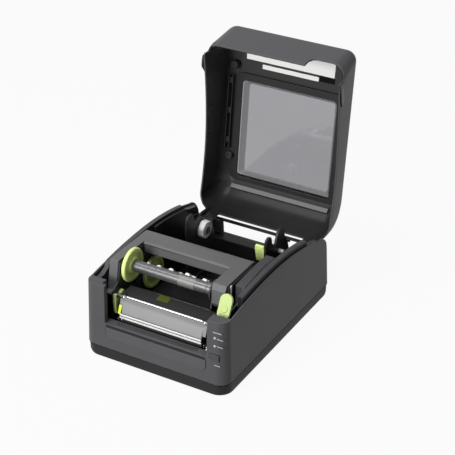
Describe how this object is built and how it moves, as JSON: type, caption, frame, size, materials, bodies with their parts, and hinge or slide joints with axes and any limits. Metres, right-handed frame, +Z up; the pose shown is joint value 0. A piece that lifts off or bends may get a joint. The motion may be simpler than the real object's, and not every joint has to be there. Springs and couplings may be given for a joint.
{
  "type": "thermal label printer",
  "caption": "Desktop thermal-transfer label printer with a hinged window lid, swing-up ribbon module, geared platen and linked roll holders.",
  "frame": {"origin": "centre of the housing's footprint on the table", "axes": "+X to the viewer's right facing the front, -Y out of the front, +Z up"},
  "size_m": [0.2, 0.3511, 0.3168],
  "materials": {
    "body_plastic": "fine textured charcoal ABS",
    "inner_plastic": "satin black ABS",
    "module_plastic": "satin dark grey ABS",
    "holder_plastic": "satin grey nylon",
    "pale_plastic": "satin pale grey acetal",
    "green_plastic": "satin lime green acetal",
    "button_plastic": "satin green rubberised key",
    "steel": "plated steel",
    "brass": "sintered bronze",
    "aluminium": "extruded aluminium",
    "ceramic": "glazed ceramic head",
    "rubber": "matt black rubber",
    "board": "solder-masked board",
    "window": "smoked clear plastic",
    "lens": "clear light pipe"
  },
  "bodies": {
    "printer": {"base_tray": "body_plastic", "rubber_feet": "rubber", "tray_screws": "steel", "housing_shell": "body_plastic", "front_panel": "body_plastic", "light_pipes": "lens", "button_board": "board", "rear_panel": "inner_plastic", "power_inlet": "inner_plastic", "usb_socket": "steel", "serial_socket": "steel", "chassis": "inner_plastic", "main_board": "board", "stepper_motor": "steel", "platen_bushes": "brass", "media_guide_plate": "inner_plastic", "sensor_rod": "steel", "holder_rods": "steel", "lid_hinge_pins": "steel", "module_hinge_pins": "steel", "catch_pin": "steel"},
    "feed_button": {"feed_button": "button_plastic"},
    "power_rocker": {"power_rocker": "inner_plastic"},
    "platen": {"platen_roller": "rubber", "platen_shaft": "steel", "platen_gear": "pale_plastic"},
    "idler_gear": {"idler_gear": "pale_plastic"},
    "motor_pinion": {"motor_pinion": "brass"},
    "media_sensor": {"media_sensor": "inner_plastic"},
    "left_holder": {"left_holder": "holder_plastic"},
    "left_hub": {"left_hub": "pale_plastic"},
    "right_holder": {"right_holder": "holder_plastic"},
    "right_hub": {"right_hub": "pale_plastic"},
    "holder_pinion": {"holder_pinion": "pale_plastic"},
    "holder_lock": {"holder_lock": "green_plastic"},
    "lid": {"lid_shell": "body_plastic", "lid_window": "window", "window_frame": "inner_plastic", "window_bar": "pale_plastic"},
    "ribbon_module": {"ribbon_cover": "module_plastic", "module_side_plates": "steel", "head_cover": "inner_plastic", "guide_rod": "steel", "ribbon_rods": "steel", "tear_bar": "steel", "supply_brake": "inner_plastic", "head_springs": "steel"},
    "print_head": {"print_head": "ceramic", "heat_sink": "aluminium"},
    "rewind_spindle": {"rewind_spindle": "steel", "rewind_wheel": "green_plastic", "rewind_gear": "pale_plastic"},
    "supply_spindle": {"supply_spindle": "steel", "supply_wheel": "green_plastic"},
    "ribbon_idler": {"ribbon_idler_gear": "pale_plastic"},
    "latch": {"latch_shaft": "steel", "left_latch": "green_plastic", "release_lever": "green_plastic"}
  },
  "joints": [
    {"name": "lid_hinge", "type": "hinge", "parent": "printer", "child": "lid", "pos_m": [0, 0.103, 0.071], "axis": [-1, 0, 0], "range_deg": [-92, 0]},
    {"name": "module_hinge", "type": "hinge", "parent": "printer", "child": "ribbon_module", "pos_m": [0, -0.022, 0.106], "axis": [-1, 0, 0], "range_deg": [0, 65]},
    {"name": "latch_turn", "type": "hinge", "parent": "ribbon_module", "child": "latch", "pos_m": [0, -0.103, 0.075], "axis": [-1, 0, 0], "range_deg": [-14, 0]},
    {"name": "head_lift", "type": "slide", "parent": "ribbon_module", "child": "print_head", "axis": [0, 0, 1], "range_m": [0, 0.001], "stiffness_N_per_m": 3000, "deforming": ["head_springs"]},
    {"name": "feed_press", "type": "slide", "parent": "printer", "child": "feed_button", "axis": [0, 1, 0], "range_m": [0, 0.0008], "stiffness_N_per_m": 400},
    {"name": "power_rock", "type": "hinge", "parent": "printer", "child": "power_rocker", "pos_m": [-0.022, 0.134, 0.0304], "axis": [-1, 0, 0], "range_deg": [0, 14]},
    {"name": "platen_turn", "type": "hinge", "parent": "printer", "child": "platen", "pos_m": [0, -0.114, 0.0465], "axis": [1, 0, 0], "continuous": true},
    {"name": "idler_turn", "type": "hinge", "parent": "printer", "child": "idler_gear", "pos_m": [0.065, -0.10327, 0.02615], "axis": [1, 0, 0], "continuous": true},
    {"name": "motor_turn", "type": "hinge", "parent": "printer", "child": "motor_pinion", "pos_m": [0.06, -0.084, 0.0315], "axis": [1, 0, 0], "continuous": true},
    {"name": "rewind_turn", "type": "hinge", "parent": "ribbon_module", "child": "rewind_spindle", "pos_m": [0, -0.078, 0.1035], "axis": [1, 0, 0], "continuous": true},
    {"name": "ribbon_idler_turn", "type": "hinge", "parent": "ribbon_module", "child": "ribbon_idler", "pos_m": [0.0545, -0.061, 0.1035], "axis": [1, 0, 0], "continuous": true},
    {"name": "supply_turn", "type": "hinge", "parent": "ribbon_module", "child": "supply_spindle", "pos_m": [0, -0.031, 0.069], "axis": [1, 0, 0], "continuous": true},
    {"name": "left_holder_slide", "type": "slide", "parent": "printer", "child": "left_holder", "axis": [1, 0, 0], "range_m": [0, 0.042]},
    {"name": "right_holder_slide", "type": "slide", "parent": "printer", "child": "right_holder", "axis": [1, 0, 0], "range_m": [-0.042, 0]},
    {"name": "holder_pinion_turn", "type": "hinge", "parent": "printer", "child": "holder_pinion", "pos_m": [0, 0.068, 0.0182], "axis": [0, 0, 1], "range_deg": [0, 302]},
    {"name": "left_hub_turn", "type": "hinge", "parent": "left_holder", "child": "left_hub", "pos_m": [-0.05, 0.068, 0.086], "axis": [1, 0, 0], "continuous": true},
    {"name": "right_hub_turn", "type": "hinge", "parent": "right_holder", "child": "right_hub", "pos_m": [0.05, 0.068, 0.086], "axis": [1, 0, 0], "continuous": true},
    {"name": "holder_lock_press", "type": "slide", "parent": "right_holder", "child": "holder_lock", "axis": [0, 0, 1], "range_m": [-0.004, 0], "stiffness_N_per_m": 200},
    {"name": "media_sensor_slide", "type": "slide", "parent": "printer", "child": "media_sensor", "axis": [1, 0, 0], "range_m": [-0.04, 0.04]}
  ],
  "couplings": [
    {"joint": "idler_turn", "follows": "platen_turn", "ratio": -0.76923},
    {"joint": "motor_turn", "follows": "platen_turn", "ratio": 1.4286},
    {"joint": "ribbon_idler_turn", "follows": "rewind_turn", "ratio": -0.7},
    {"joint": "right_holder_slide", "follows": "left_holder_slide", "ratio": -1},
    {"joint": "holder_pinion_turn", "follows": "left_holder_slide", "rad_per_m": 125}
  ]
}
